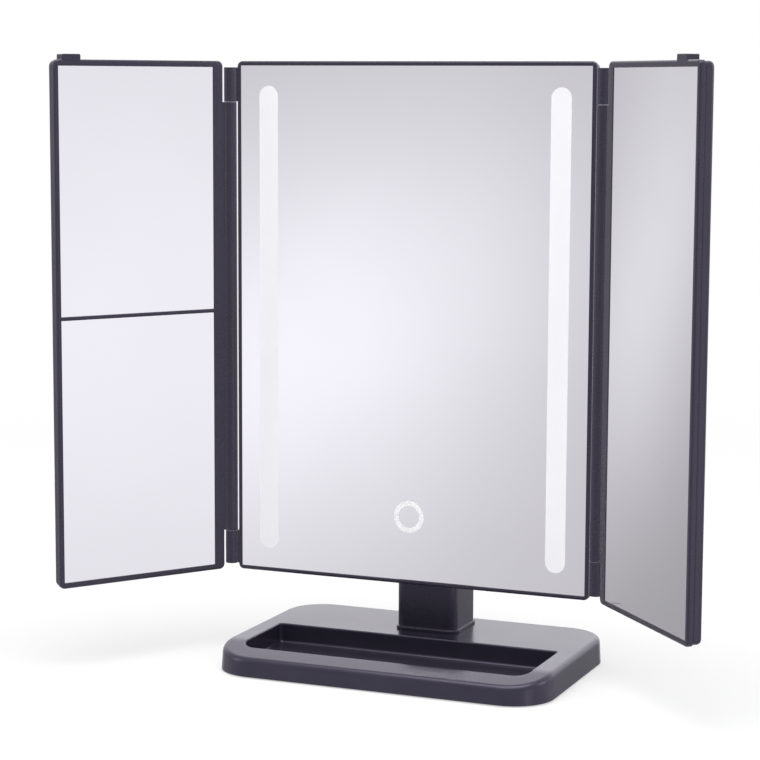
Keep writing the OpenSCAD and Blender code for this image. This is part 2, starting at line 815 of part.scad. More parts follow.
module wing_frame(panes, tab) difference() {
    union() {
        translate([wing_mid, 0, -axis_lead]) panel_rim(wing_w);
        difference() {
            finger_tab(tab);
            translate([0, panel_h - 2 * over, -axis_lead - tab_d - over])
                cube([2 * wing_w, 2 * over, tab_d + over - frame_t]);
        }
        long_knuckle();
    }
    for (pane = panes) {
        h = pane[1] - pane[0];
        translate([wing_mid + wing_glass_x, pane[0], -axis_lead + over])
            slab_back(wing_glass_w, h, pocket_t + over);
        translate([wing_mid + wing_glass_x, pane[0] + wing_ledge, -axis_lead + over])
            slab_back(wing_glass_w - 2 * wing_ledge, h - 2 * wing_ledge, frame_t + 2 * over);
    }
    upright_rod(0, 0, pin_r, 0, barrel_from + pin_sunk + pin_len);
    upright_rod(0, 0, pin_r, panel_h - barrel_from - pin_sunk - pin_len, panel_h);
}

module wing_cover() translate([0, 0, -axis_lead]) difference() {
    translate([wing_mid, 0, 0]) cover_body(wing_w);
    translate([wing_mid, 0, 0]) cover_cavity(wing_w);
}

module wing_mirror(pane) {
    translate([wing_mid + wing_glass_x, pane[0] + slack, -axis_lead - glass_sunk])
        slab_back(wing_glass_w - 2 * slack, pane[1] - pane[0] - 2 * slack, glass_t);
}

module hinge_pins() {
    from = barrel_from + pin_sunk;
    upright_rod(0, 0, pin_r, from, from + pin_len);
    upright_rod(0, 0, pin_r, panel_h - from - pin_len, panel_h - from);
}

module left_wing_frame() color(plastic) on_left_wing() wing_frame([lower_glass, upper_glass], left_tab);
module left_wing_cover() color(plastic) on_left_wing() wing_cover();
module left_mirror_upper() color(silver) on_left_wing() wing_mirror(upper_glass);
module left_mirror_lower() color(silver) on_left_wing() wing_mirror(lower_glass);
module left_hinge_pins() color(steel) on_left_wing() hinge_pins();
module right_wing_frame() color(plastic) on_right_wing() wing_frame([whole_glass], right_tab);
module right_wing_cover() color(plastic) on_right_wing() wing_cover();
module right_mirror() color(silver) on_right_wing() wing_mirror(whole_glass);
module right_hinge_pins() color(steel) on_right_wing() hinge_pins();

base_shell();
base_cover();
base_ballast();
base_feet();
base_screws();
column();
column_screws();
pivot_washers();
pivot_bolt();
pivot_nut();
pivot_caps();
head_frame();
head_rear_shell();
head_mirror();
light_window_left();
light_window_right();
touch_ring();
light_guide_left();
light_guide_right();
led_board_left();
led_board_right();
touch_board();
power_board();
power_socket();
power_switch();
battery_cells();
battery_contacts();
battery_door();
head_screws();
left_wing_frame();
left_wing_cover();
left_mirror_upper();
left_mirror_lower();
left_hinge_pins();
right_wing_frame();
right_wing_cover();
right_mirror();
right_hinge_pins();
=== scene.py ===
"""Trifold vanity mirror: finishes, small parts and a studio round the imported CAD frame."""

import math

import bmesh
import bpy
from bpy.props import FloatProperty, FloatVectorProperty, IntProperty, PointerProperty
from mathutils import Matrix, Vector


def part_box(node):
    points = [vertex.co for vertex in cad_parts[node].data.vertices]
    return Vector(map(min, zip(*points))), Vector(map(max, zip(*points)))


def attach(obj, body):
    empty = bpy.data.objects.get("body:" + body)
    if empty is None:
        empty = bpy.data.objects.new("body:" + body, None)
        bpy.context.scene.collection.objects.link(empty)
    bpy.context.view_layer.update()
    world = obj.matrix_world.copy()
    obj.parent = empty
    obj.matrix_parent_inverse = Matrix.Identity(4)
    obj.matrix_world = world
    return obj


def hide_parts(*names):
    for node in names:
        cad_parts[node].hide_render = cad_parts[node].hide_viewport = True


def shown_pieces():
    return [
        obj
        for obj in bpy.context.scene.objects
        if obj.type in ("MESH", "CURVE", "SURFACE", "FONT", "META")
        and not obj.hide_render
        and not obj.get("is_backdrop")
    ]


bl_info = {
    "name": "Trifold Vanity Mirror",
    "version": (1, 0, 0),
    "blender": (4, 5, 0),
    "location": "3D View > Sidebar > Vanity",
    "description": "Dresses a trifold vanity mirror and sets it in a pale studio",
    "category": "Object",
}

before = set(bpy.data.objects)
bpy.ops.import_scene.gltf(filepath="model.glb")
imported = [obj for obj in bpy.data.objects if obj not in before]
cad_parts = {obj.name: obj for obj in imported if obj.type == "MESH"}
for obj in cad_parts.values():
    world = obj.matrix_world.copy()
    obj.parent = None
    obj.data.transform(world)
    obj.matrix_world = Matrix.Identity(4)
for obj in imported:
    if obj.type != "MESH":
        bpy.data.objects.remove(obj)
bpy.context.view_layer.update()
MM = 0.001
WHITE = (1.0, 1.0, 1.0, 1.0)

SATIN_NODES = ("head_frame", "left_wing_frame", "right_wing_frame", "column")
GRAINED_NODES = ("base_shell", "head_rear_shell", "left_wing_cover", "right_wing_cover")
DARK_NODES = ("base_cover", "pivot_caps", "battery_door", "power_switch")
MIRROR_NODES = ("head_mirror", "left_mirror_upper", "left_mirror_lower", "right_mirror")
FROSTED_NODES = ("light_window_left", "light_window_right", "touch_ring")
GUIDE_NODES = ("light_guide_left", "light_guide_right")
STEEL_NODES = ("base_screws", "column_screws", "pivot_washers", "pivot_bolt", "pivot_nut",
               "head_screws", "left_hinge_pins", "right_hinge_pins", "base_ballast")
BOARD_NODES = ("led_board_left", "led_board_right", "touch_board", "power_board")

# Pieces that the mirrors may show, and how near another one must be to show in them
KEPT_IN_MIRRORS = ("base_moulding", "column")
MIRROR_REACH = 0.09

# How far each wing stands forward of flat at rest, in degrees, and its side of the centre
WING_FOLDS = (("left", -1, 56.2), ("right", 1, 48.2))

# What shiny surfaces see round them: an even tone, and soft lights and shades over it.
# Each has its strength, azimuth (from the front towards the right), elevation, half width,
# half height and tilt, in degrees.
STUDIO_TONE = 0.80
STUDIO_TINT = (0.995, 0.978, 1.025, 1.0)
SOFTBOXES = (
    (-0.29, -20.0, -4.0, 18.0, 16.0, 0.0),
    (0.50, -24.0, -6.2, 5.6, 8.0, -59.0),
    (0.15, 84.0, -6.2, 30.0, 6.0, 0.0),
    (-0.40, -112.0, -5.0, 16.0, 20.0, 0.0),
    (0.33, -112.3, -5.0, 6.0, 1.8, 79.0),
    (-0.10, -112.0, -14.0, 16.0, 4.0, 0.0),
    (1.00, 61.0, -7.0, 9.0, 24.0, 0.0),
    (-0.70, 157.0, -16.0, 14.0, 9.0, 0.0),
    (1.30, 180.0, 27.0, 60.0, 26.0, 0.0),
)

# Area lights: name, place, width, height and power in watts
LAMPS = (
    ("overhead", (0.1, -0.35, 1.7), 1.6, 1.2, 24.0),
    ("left_box", (-1.5, -0.9, 0.9), 0.7, 1.2, 5.0),
    ("right_box", (1.6, 0.3, 0.8), 0.6, 1.2, 5.0),
)


# ---------- node helpers ----------

def put(tree, kind, values=None, **settings):
    """A new node with its settings and its unlinked input values."""
    made = tree.nodes.new(kind)
    for key, value in settings.items():
        setattr(made, key, value)
    for key, value in (values or {}).items():
        made.inputs[key].default_value = value
    return made


def wire(tree, source, target):
    """Links an output to an input, each given as (node, socket)."""
    tree.links.new(source[0].outputs[source[1]], target[0].inputs[target[1]])


def maths(tree, operation, a, b=None, c=None):
    """A Math node, whose inputs are numbers or (node, socket) outputs."""
    made = put(tree, "ShaderNodeMath", operation=operation)
    for index, value in enumerate((a, b, c)):
        if isinstance(value, tuple):
            wire(tree, value, (made, index))
        elif value is not None:
            made.inputs[index].default_value = value
    return made, 0


def remap(tree, value, low, high, to_low, to_high):
    """A value between low and high, carried smoothly to another range."""
    made = put(tree, "ShaderNodeMapRange", interpolation_type="SMOOTHSTEP")
    wire(tree, value, (made, 0))
    for index, number in enumerate((low, high, to_low, to_high), start=1):
        made.inputs[index].default_value = number
    return made, 0


def blend_colour(tree, share, first, second, mode="MIX"):
    """A Mix node for colours. The share and both colours are values or outputs."""
    made = put(tree, "ShaderNodeMix", data_type="RGBA", blend_type=mode)
    for index, value in ((0, share), (6, first), (7, second)):
        if isinstance(value, tuple) and isinstance(value[0], bpy.types.Node):
            wire(tree, value, (made, index))
        else:
            made.inputs[index].default_value = value
    return made, 2


def noise(tree, where, scale, detail=2.0, rough=0.5):
    """A Noise Texture's value at those coordinates."""
    made = put(tree, "ShaderNodeTexNoise",
               {"Scale": scale, "Detail": detail, "Roughness": rough})
    wire(tree, where, (made, "Vector"))
    return made, 0


def new_group(name, inputs, outputs):
    """An empty shader node group and its two ends."""
    tree = bpy.data.node_groups.new(name, "ShaderNodeTree")
    for label, kind, default in inputs:
        socket = tree.interface.new_socket(name=label, in_out="INPUT", socket_type=kind)
        if default is not None:
            socket.default_value = default
    for label, kind in outputs:
        tree.interface.new_socket(name=label, in_out="OUTPUT", socket_type=kind)
    return tree, put(tree, "NodeGroupInput"), put(tree, "NodeGroupOutput")


def use_group(tree, group, where, **values):
    """A group node at those coordinates, with inputs named as its sockets are."""
    made = put(tree, "ShaderNodeGroup", node_tree=group)
    wire(tree, where, (made, "Vector"))
    for key, value in values.items():
        made.inputs[key.replace("_", " ").capitalize()].default_value = value
    return made


def moulded_grain_group():
    """Fine erosion grain of a mould and the broad unevenness of its gloss."""
    tree, start, end = new_group(
        "moulded_grain",
        [("Vector", "NodeSocketVector", None), ("Grain size", "NodeSocketFloat", 0.4),
         ("Cloud size", "NodeSocketFloat", 35.0)],
        [("Height", "NodeSocketFloat"), ("Clouds", "NodeSocketFloat"),
         ("Speckle", "NodeSocketFloat")])
    per_metre = 1000.0
    fine = maths(tree, "DIVIDE", per_metre, (start, "Grain size"))
    broad = maths(tree, "DIVIDE", per_metre, (start, "Cloud size"))
    pits = put(tree, "ShaderNodeTexVoronoi", feature="SMOOTH_F1")
    wire(tree, (start, "Vector"), (pits, "Vector"))
    wire(tree, fine, (pits, "Scale"))
    grit = noise(tree, (start, "Vector"), 1.0, 3.0, 0.6)
    wire(tree, fine, (grit[0], "Scale"))
    clouds = noise(tree, (start, "Vector"), 1.0, 2.0, 0.45)
    wire(tree, broad, (clouds[0], "Scale"))
    height = maths(tree, "MULTIPLY_ADD", (pits, "Distance"), 0.6, grit)
    wire(tree, height, (end, "Height"))
    wire(tree, remap(tree, clouds, 0.3, 0.7, 0.0, 1.0), (end, "Clouds"))
    wire(tree, remap(tree, grit, 0.35, 0.65, 0.0, 1.0), (end, "Speckle"))
    return tree


def drawn_metal_group():
    """Fine lines along one direction, as on drawn wire and turned screws."""
    tree, start, end = new_group(
        "drawn_metal",
        [("Vector", "NodeSocketVector", None), ("Line size", "NodeSocketFloat", 0.15),
         ("Stretch", "NodeSocketFloat", 12.0)],
        [("Lines", "NodeSocketFloat"), ("Tarnish", "NodeSocketFloat")])
    turned = put(tree, "ShaderNodeCombineXYZ", {"X": 1.0, "Y": 1.0})
    wire(tree, maths(tree, "DIVIDE", 1.0, (start, "Stretch")), (turned, "Z"))
    stretched = put(tree, "ShaderNodeVectorMath", operation="MULTIPLY")
    wire(tree, (start, "Vector"), (stretched, 0))
    wire(tree, (turned, 0), (stretched, 1))
    lines = noise(tree, (stretched, 0), 1.0, 2.0, 0.5)
    wire(tree, maths(tree, "DIVIDE", 1000.0, (start, "Line size")), (lines[0], "Scale"))
    tarnish = noise(tree, (start, "Vector"), 180.0, 3.0, 0.55)
    wire(tree, remap(tree, lines, 0.3, 0.7, 0.0, 1.0), (end, "Lines"))
    wire(tree, remap(tree, tarnish, 0.4, 0.75, 0.0, 1.0), (end, "Tarnish"))
    return tree


def softbox_group():
    """How strongly a direction sees a soft light, with its place and size in degrees."""
    tree, start, end = new_group(
        "softbox",
        [("Vector", "NodeSocketVector", None), ("Azimuth", "NodeSocketFloat", 0.0),
         ("Elevation", "NodeSocketFloat", 0.0), ("Half width", "NodeSocketFloat", 20.0),
         ("Half height", "NodeSocketFloat", 5.0), ("Tilt", "NodeSocketFloat", 0.0)],
        [("Glow", "NodeSocketFloat")])
    axes = put(tree, "ShaderNodeSeparateXYZ")
    wire(tree, (start, "Vector"), (axes, 0))
    front = maths(tree, "MULTIPLY", (axes, "Y"), -1.0)
    across = maths(tree, "DEGREES", maths(tree, "ARCTAN2", (axes, "X"), front))
    up = maths(tree, "DEGREES", maths(tree, "ARCSINE", (axes, "Z")))
    turn = maths(tree, "RADIANS", (start, "Tilt"))
    cosine, sine = maths(tree, "COSINE", turn), maths(tree, "SINE", turn)
    u = maths(tree, "SUBTRACT", across, (start, "Azimuth"))
    u = maths(tree, "WRAP", u, 180.0, -180.0)
    v = maths(tree, "SUBTRACT", up, (start, "Elevation"))
    along = maths(tree, "MULTIPLY_ADD", u, cosine, maths(tree, "MULTIPLY", v, sine))
    off = maths(tree, "SUBTRACT", maths(tree, "MULTIPLY", v, cosine),
                maths(tree, "MULTIPLY", u, sine))
    along = maths(tree, "DIVIDE", along, (start, "Half width"))
    off = maths(tree, "DIVIDE", off, (start, "Half height"))
    square = maths(tree, "MULTIPLY_ADD", along, along, maths(tree, "MULTIPLY", off, off))
    wire(tree, maths(tree, "EXPONENT", maths(tree, "MULTIPLY", square, -1.0)), (end, "Glow"))
    return tree


def start_material(name):
    """A material with a Principled shader and the object's own coordinates."""
    made = bpy.data.materials.new(name)
    made.use_nodes = True
    tree = made.node_tree
    shader = tree.nodes["Principled BSDF"]
    where = put(tree, "ShaderNodeTexCoord")
    return made, tree, shader, (where, "Object")


def toned(colour, gain, lift=0.0):
    """That colour, opaque, after a gain and a lift."""
    return [min(1.0, gain * c + lift) for c in colour[:3]] + [1.0]


def vary_tone(tree, shader, mask, first, second):
    """Colour that goes from the first to the second with the mask."""
    wire(tree, blend_colour(tree, mask, list(first), second), (shader, "Base Color"))


def vary_gloss(tree, shader, mask, low, high):
    """Roughness that goes from low to high with the mask."""
    wire(tree, remap(tree, mask, 0.0, 1.0, low, high), (shader, "Roughness"))


def bump(tree, shader, height, depth, strength, edge=0.0):
    """Relief of that depth in metres, over edges softened by a small radius."""
    made = put(tree, "ShaderNodeBump", {"Strength": strength, "Distance": depth})
    wire(tree, height, (made, "Height"))
    if edge:
        soft = put(tree, "ShaderNodeBevel", {"Radius": edge}, samples=4)
        wire(tree, (soft, "Normal"), (made, "Normal"))
    wire(tree, (made, "Normal"), (shader, "Normal"))


def clear_of_mirrors(tree, shader, reach):
    """Keeps a surface out of the mirrors that stand further from it than that reach."""
    path = put(tree, "ShaderNodeLightPath")
    far = maths(tree, "GREATER_THAN", (path, "Ray Length"), reach)
    hidden = maths(tree, "MULTIPLY", far, (path, "Is Glossy Ray"))
    wire(tree, maths(tree, "SUBTRACT", 1.0, hidden), (shader, "Alpha"))


def moulded_plastic(name, group, colour, tint, rough, grain, depth, edge=0.0):
    """Moulded plastic: grain, cloudy gloss and a faint mottling of its colour."""
    made, tree, shader, where = start_material(name)
    shader.inputs["Specular Tint"].default_value = tint
    clear_of_mirrors(tree, shader, MIRROR_REACH)
    skin = use_group(tree, group, where, grain_size=grain)
    vary_tone(tree, shader, (skin, "Clouds"), toned(colour, 0.95),
              toned(colour, 1.06, 0.0005))
    gloss = maths(tree, "MULTIPLY_ADD", (skin, "Clouds"), 0.03, rough - 0.015)
    gloss = maths(tree, "MULTIPLY_ADD", (skin, "Speckle"), 0.03, gloss)
    wire(tree, gloss, (shader, "Roughness"))
    bump(tree, shader, (skin, "Height"), depth, 0.5, edge)
    return made


def silvered_glass(group, colour):
    """The silver of a mirror, a little duller where its face has been wiped."""
    made, tree, shader, where = start_material("silvered_glass")
    film = use_group(tree, group, where, grain_size=1.5, cloud_size=60.0)
    vary_tone(tree, shader, (film, "Clouds"), colour, toned(colour, 0.985))
    vary_gloss(tree, shader, (film, "Clouds"), 0.012, 0.03)
    shader.inputs["Metallic"].default_value = 1.0
    return made


def etched_glass(group, colour, glow=0.0):
    """Etched white of the light windows and the touch ring."""
    made, tree, shader, where = start_material("etched_glass")
    etch = use_group(tree, group, where, grain_size=0.25, cloud_size=18.0)
    vary_tone(tree, shader, (etch, "Speckle"), colour, toned(colour, 0.97))
    vary_gloss(tree, shader, (etch, "Clouds"), 0.34, 0.46)
    shader.inputs["Emission Color"].default_value = WHITE
    shader.inputs["Emission Strength"].default_value = glow
    bump(tree, shader, (etch, "Height"), 0.00002, 0.3)
    return made


def clear_guide(group):
    """Clear acrylic of the light guides, with the dots that let the light out."""
    made, tree, shader, where = start_material("clear_guide")
    dots = put(tree, "ShaderNodeTexVoronoi", {"Scale": 450.0, "Randomness": 0.0})
    wire(tree, where, (dots, "Vector"))
    mask = remap(tree, (dots, "Distance"), 0.25, 0.35, 1.0, 0.0)
    vary_tone(tree, shader, mask, (0.9, 0.92, 0.94, 1.0), WHITE)
    vary_gloss(tree, shader, mask, 0.08, 0.5)
    shader.inputs["Transmission Weight"].default_value = 0.85
    shader.inputs["IOR"].default_value = 1.49
    return made


def worked_steel(group, name, colour, rough, size):
    """Bright metal with drawn lines and a little tarnish."""
    made, tree, shader, where = start_material(name)
    metal = use_group(tree, group, where, line_size=size)
    vary_tone(tree, shader, (metal, "Tarnish"), colour, toned(colour, 0.72))
    shader.inputs["Metallic"].default_value = 1.0
    gloss = maths(tree, "MULTIPLY_ADD", (metal, "Lines"), 0.16, rough)
    wire(tree, maths(tree, "MULTIPLY_ADD", (metal, "Tarnish"), 0.1, gloss),
         (shader, "Roughness"))
    bump(tree, shader, (metal, "Lines"), 0.00001, 0.4)
    return made


def foot_rubber(group, colour):
    """Dull rubber with a little dust."""
    made, tree, shader, where = start_material("foot_rubber")
    skin = use_group(tree, group, where, grain_size=0.8, cloud_size=9.0)
    vary_tone(tree, shader, (skin, "Clouds"), colour, toned(colour, 1.0, 0.02))
    vary_gloss(tree, shader, (skin, "Speckle"), 0.68, 0.85)
    bump(tree, shader, (skin, "Height"), 0.00004, 0.5)
    return made


def circuit_board(group, colour):
    """Solder mask over fine copper tracks."""
    made, tree, shader, where = start_material("circuit_board")
    skin = use_group(tree, group, where, grain_size=0.3, cloud_size=6.0)
    tracks = put(tree, "ShaderNodeTexBrick",
                 {"Scale": 180.0, "Mortar Size": 0.05, "Brick Width": 0.9,
                  "Row Height": 0.35})
    turned = put(tree, "ShaderNodeMapping")
    turned.inputs["Rotation"].default_value = (math.radians(90.0), 0.0, 0.0)
    wire(tree, where, (turned, "Vector"))
    wire(tree, (turned, 0), (tracks, "Vector"))
    vary_tone(tree, shader, (tracks, "Fac"), colour, toned(colour, 1.9, 0.02))
    vary_gloss(tree, shader, (skin, "Clouds"), 0.25, 0.4)
    bump(tree, shader, (tracks, "Fac"), 0.00004, 0.5)
    return made


def cell_sleeve(group, colour, band, split, top):
    """Printed sleeve of the cells: a plain body with a pale band near its upper end."""
    made, tree, shader, where = start_material("cell_sleeve")
    skin = use_group(tree, group, where, grain_size=0.6, cloud_size=20.0)
    axes = put(tree, "ShaderNodeSeparateXYZ")
    wire(tree, where, (axes, 0))
    above = maths(tree, "GREATER_THAN", (axes, "Z"), split)
    below = maths(tree, "LESS_THAN", (axes, "Z"), top)
    ring = maths(tree, "MULTIPLY", above, below)
    tone = blend_colour(tree, ring, list(colour), list(band))
    worn = blend_colour(tree, (skin, "Clouds"), (0.92, 0.92, 0.92, 1.0), WHITE)
    wire(tree, blend_colour(tree, 1.0, tone, worn, "MULTIPLY"), (shader, "Base Color"))
    shader.inputs["Metallic"].default_value = 0.35
    vary_gloss(tree, shader, (skin, "Speckle"), 0.26, 0.36)
    return made


def lamp_resin(group, colour):
    """Cast resin of the lamps, yellow with a faint cloudy mottle."""
    made, tree, shader, where = start_material("lamp_resin")
    skin = use_group(tree, group, where, grain_size=0.2, cloud_size=2.0)
    vary_tone(tree, shader, (skin, "Clouds"), colour, toned(colour, 1.12, 0.05))
    vary_gloss(tree, shader, (skin, "Speckle"), 0.15, 0.25)
    return made


# ---------- mesh helpers ----------

def dress(names, made):
    """Gives CAD nodes a material in every slot of theirs."""
    for name in names:
        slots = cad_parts[name].material_slots
        if not slots:
            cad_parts[name].data.materials.append(made)
        for place in slots:
            place.material = made


def make_piece(name, bm, made, body):
    """Turns a bmesh in the frame's place into a piece that rides on a body."""
    bmesh.ops.remove_doubles(bm, verts=bm.verts, dist=1e-6)
    bmesh.ops.recalc_face_normals(bm, faces=bm.faces)
    mesh = bpy.data.meshes.new(name)
    bm.to_mesh(mesh)
    bm.free()
    mesh.materials.append(made)
    piece = bpy.data.objects.new(name, mesh)
    bpy.context.scene.collection.objects.link(piece)
    mesh.shade_smooth()
    mesh.set_sharp_from_angle(angle=math.radians(35.0))
    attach(piece, body)
    return piece


def lathe(bm, profile, centre, steps):
    """Spins (radius, height) points round an upright axis."""
    corners = [bm.verts.new((centre[0] + r, centre[1], centre[2] + z)) for r, z in profile]
    edges = [bm.edges.new(pair) for pair in zip(corners, corners[1:])]
    bmesh.ops.spin(bm, geom=corners + edges, cent=centre, axis=(0.0, 0.0, 1.0),
                   angle=math.tau, steps=steps, use_merge=True)


def round_edges(bm, edges, radius):
    """Bevels those edges to a soft corner."""
    bmesh.ops.bevel(bm, geom=list(edges), offset=radius, affect="EDGES", segments=2,
                    profile=0.5, material=-1)


def block(bm, low, high, edge):
    """A box between two corners, with its edges rounded."""
    size = [b - a for a, b in zip(low, high)]
    middle = [(a + b) / 2 for a, b in zip(low, high)]
    place = Matrix.Translation(middle) @ Matrix.Diagonal((*size, 1.0))
    made = bmesh.ops.create_cube(bm, size=1.0, matrix=place)
    round_edges(bm, {e for v in made["verts"] for e in v.link_edges}, edge)


def drum(bm, centre, radius, length, axis, edge):
    """A round can along an axis, with its ends rounded."""
    turn = Vector((0.0, 0.0, 1.0)).rotation_difference(Vector(axis)).to_matrix().to_4x4()
    made = bmesh.ops.create_cone(bm, cap_ends=True, segments=24, radius1=radius,
                                 radius2=radius, depth=length,
                                 matrix=Matrix.Translation(centre) @ turn)
    round_edges(bm, {e for v in made["verts"] for e in v.link_edges
                     if sum(len(f.verts) > 4 for f in e.link_faces) == 1}, edge)


def rounded_ring(half_x, front, back, front_r, back_r, steps=10):
    """Plan of a rounded rectangle between two y lines, with its own radius at each of them."""
    ring = []
    for x, y, r, start in ((half_x - front_r, front + front_r, front_r, -90),
                           (half_x - back_r, back - back_r, back_r, 0),
                           (back_r - half_x, back - back_r, back_r, 90),
                           (front_r - half_x, front + front_r, front_r, 180)):
        for i in range(steps + 1):
            turn = math.radians(start + 90 * i / steps)
            ring.append((x + r * math.cos(turn), y + r * math.sin(turn)))
    return ring


def quarter(radius, steps=6):
    """Points (across, up) of a quarter turn, from level to upright."""
    turns = [math.radians(90 * i / steps) for i in range(steps + 1)]
    return [(radius * (1 - math.cos(t)), radius * math.sin(t)) for t in turns]


def skin_rings(bm, rings):
    """Joins closed rings of (x, y, z) points one after the other, and caps both ends."""
    loops = [[bm.verts.new(point) for point in ring] for ring in rings]
    for a, b in zip(loops, loops[1:]):
        for i in range(len(a)):
            bm.faces.new((a[i - 1], a[i], b[i], b[i - 1]))
    bm.faces.new(loops[0])
    bm.faces.new(loops[-1])


def even_normals(piece):
    """Keeps flat faces flat beside their rounded edges."""
    piece.modifiers.new("even_normals", "WEIGHTED_NORMAL").keep_sharp = True


# ---------- what a user may change ----------

def colour_setting(name, description, default):
    """A colour."""
    return FloatVectorProperty(name=name, description=description, subtype="COLOR", size=4,
                               min=0.0, max=1.0, default=default)


def length_setting(name, description, low, high, default):
    """A length in metres, between two limits."""
    return FloatProperty(name=name, description=description, subtype="DISTANCE",
                         unit="LENGTH", min=low, max=high, default=default)


def roughness_setting(name, description, default):
    """A surface's roughness."""
    return FloatProperty(name=name, description=description, subtype="FACTOR", min=0.05,
                         max=1.0, default=default)


class VanityFinish(bpy.types.PropertyGroup):
    plastic: colour_setting(
        "Plastic", "Frames, covers, column and base", (0.023, 0.0205, 0.033, 1.0))
    dark_plastic: colour_setting(
        "Dark plastic", "Caps, battery door, switch and base cover",
        (0.012, 0.011, 0.016, 1.0))
    gloss_tint: colour_setting(
        "Gloss tint", "Colour of what the plastic reflects", (0.82, 0.76, 1.0, 1.0))
    silver: colour_setting(
        "Silver", "Reflection of the mirrors", (0.905, 0.900, 0.925, 1.0))
    etched: colour_setting(
        "Etched glass", "Light windows and touch ring", (0.82, 0.82, 0.845, 1.0))
    glow: FloatProperty(
        name="Window glow", description="Light that the etched glass gives", min=0.0,
        max=2.0, default=0.10)
    steel: colour_setting(
        "Steel", "Screws, pins, washers and ballast", (0.56, 0.56, 0.58, 1.0))
    nickel: colour_setting(
        "Nickel", "Cell contacts and the power socket", (0.66, 0.63, 0.58, 1.0))
    rubber: colour_setting(
        "Rubber", "Feet", (0.018, 0.018, 0.020, 1.0))
    board: colour_setting(
        "Circuit board", "Solder mask of the boards", (0.012, 0.085, 0.040, 1.0))
    resin: colour_setting(
        "Lamp resin", "Lamps on the light boards", (0.80, 0.66, 0.22, 1.0))
    sleeve: colour_setting(
        "Cell sleeve", "Printed sleeve of the cells", (0.025, 0.05, 0.09, 1.0))
    satin_roughness: roughness_setting(
        "Satin roughness", "Roughness of the frames and the column", 0.26)
    grain_roughness: roughness_setting(
        "Grained roughness", "Roughness of the base and the covers", 0.22)
    dark_roughness: roughness_setting(
        "Dark roughness", "Roughness of the caps, door and switch", 0.34)


class VanityDetail(bpy.types.PropertyGroup):
    wire_d: length_setting(
        "Spring wire", "Diameter of the spring wire", 0.0003, 0.001, 0.0006)
    spring_turns: IntProperty(
        name="Spring turns", description="Turns of a cell spring", min=2, max=5, default=3)
    groove: length_setting(
        "Foot groove", "Depth of the rings under a foot", 0.0, 0.0005, 0.0003)
    lens: length_setting(
        "Lens height", "Rise of a lamp's resin", 0.0002, 0.0008, 0.0005)


class VanityForm(bpy.types.PropertyGroup):
    base_edge: length_setting(
        "Base edge", "Rounding along the base's upper edge", 0.001, 0.004, 0.0028)
    fold: length_setting(
        "Fold", "Where the base's top starts to fall", -0.045, -0.034, -0.038)
    fold_soft: length_setting(
        "Fold softness", "Half the width of the bend in the base's top", 0.001, 0.006,
        0.0036)
    fall: FloatProperty(
        name="Fall", description="Slope of the base's top towards its nose",
        subtype="ANGLE", unit="ROTATION", min=0.0, max=math.radians(12.0),
        default=math.radians(10.4))
    tray_half: length_setting(
        "Tray half width", "Half the width of the tray", 0.07, 0.0815, 0.0815)
    tray_front: length_setting(
        "Tray front", "Where the tray's front wall stands", -0.052, -0.04, -0.0466)
    tray_back: length_setting(
        "Tray back", "Where the tray's back wall stands", 0.0, 0.006, 0.0045)
    tray_corner: length_setting(
        "Tray corner", "Plan radius of the tray's front corners", 0.004, 0.012, 0.0085)
    tray_deep: length_setting(
        "Tray depth", "Depth of the tray below the base's top", 0.008, 0.0107, 0.0107)
    tray_lip: length_setting(
        "Tray lip", "Rounding of the tray's rim", 0.0002, 0.0015, 0.0008)
    tray_fillet: length_setting(
        "Tray fillet", "Rounding where the tray's walls meet its floor", 0.0005, 0.0018,
        0.0015)
    wing_edge: length_setting(
        "Wing edge", "From a hinge's axis to its wing's frame", 0.0041, 0.0055, 0.0041)


class VanityStage(bpy.types.PropertyGroup):
    camera: FloatVectorProperty(
        name="Camera", description="Where the camera stands", subtype="XYZ",
        unit="LENGTH", default=(0.4500, -1.1350, 0.3141))
    target: FloatVectorProperty(
        name="Target", description="Where the camera looks", subtype="XYZ",
        unit="LENGTH", default=(-0.0171, -0.0069, 0.1567))
    lens: FloatProperty(
        name="Lens", description="Focal length in millimetres", min=20.0, max=300.0,
        default=108.56)
    roll: FloatProperty(
        name="Roll", description="Turn of the camera about its own axis",
        subtype="ANGLE", unit="ROTATION", default=math.radians(0.265))
    fill: FloatProperty(
        name="Fill", description="Strength of the even light", min=0.0, max=2.0,
        default=0.55)
    floor: colour_setting("Floor", "Colour of the floor", (0.94, 0.94, 0.945, 1.0))


# ---------- operators ----------

class VANITY_OT_dress_plastic(bpy.types.Operator):
    """Finish the moulded plastic of the frames, covers, column and base"""
    bl_idname = "vanity.dress_plastic"
    bl_label = "Plastic"

    def execute(self, context):
        look = context.scene.vanity_finish
        grain = bpy.data.node_groups["moulded_grain"]
        satin = moulded_plastic("satin_plastic", grain, look.plastic, look.gloss_tint,
                                look.satin_roughness, 0.5, 0.000012, 0.0008)
        grained = moulded_plastic("grained_plastic", grain, look.plastic, look.gloss_tint,
                                  look.grain_roughness, 0.5, 0.000015, 0.0008)
        dark = moulded_plastic("dark_plastic", grain, look.dark_plastic, look.gloss_tint,
                               look.dark_roughness, 0.45, 0.00003, 0.0002)
        dress(SATIN_NODES, satin)
        dress(GRAINED_NODES, grained)
        dress(DARK_NODES, dark)
        return {"FINISHED"}


class VANITY_OT_dress_glass(bpy.types.Operator):
    """Finish the mirrors, the etched windows and ring, and the light guides"""
    bl_idname = "vanity.dress_glass"
    bl_label = "Glass"

    def execute(self, context):
        look = context.scene.vanity_finish
        grain = bpy.data.node_groups["moulded_grain"]
        dress(MIRROR_NODES, silvered_glass(grain, look.silver))
        dress(FROSTED_NODES, etched_glass(grain, look.etched, look.glow))
        dress(GUIDE_NODES, clear_guide(grain))
        return {"FINISHED"}


